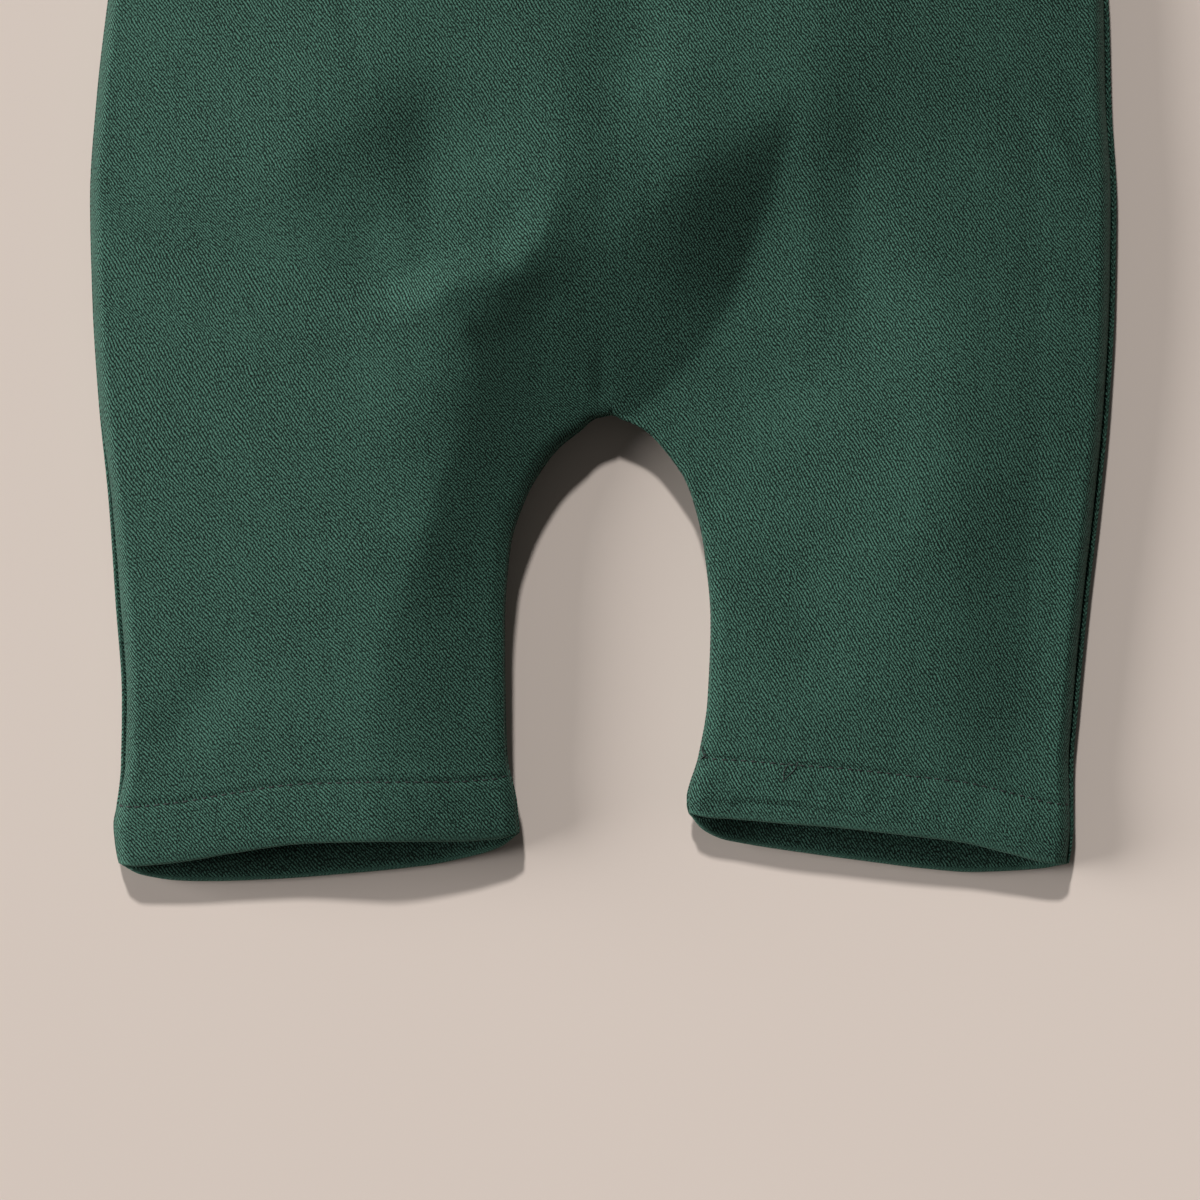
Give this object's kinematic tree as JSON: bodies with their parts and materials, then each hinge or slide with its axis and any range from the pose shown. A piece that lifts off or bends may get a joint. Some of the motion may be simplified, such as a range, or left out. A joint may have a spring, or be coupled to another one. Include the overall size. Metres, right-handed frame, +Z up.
{
  "type": "baby overalls with short legs",
  "caption": "Short-legged bib overalls for a baby, laid flat on their back, with an open hollow in the legs and trunk, turned hems, and shoulder straps buttoned to the bib.",
  "frame": {"origin": "middle of the footprint of the garment with its straps, on the surface that it lies on", "axes": "+X to the right of a viewer who looks down with the straps away from them, +Y from the legs' hems to the straps, +Z up out of the front"},
  "size_m": [0.2656, 0.4349, 0.0295],
  "materials": {
    "green_twill": "matt brushed twill",
    "button_green": "satin"
  },
  "bodies": {
    "root": {"front": "green_twill", "back": "green_twill", "strap_left": "green_twill", "strap_right": "green_twill", "button_left": "button_green", "button_right": "button_green"}
  },
  "joints": []
}
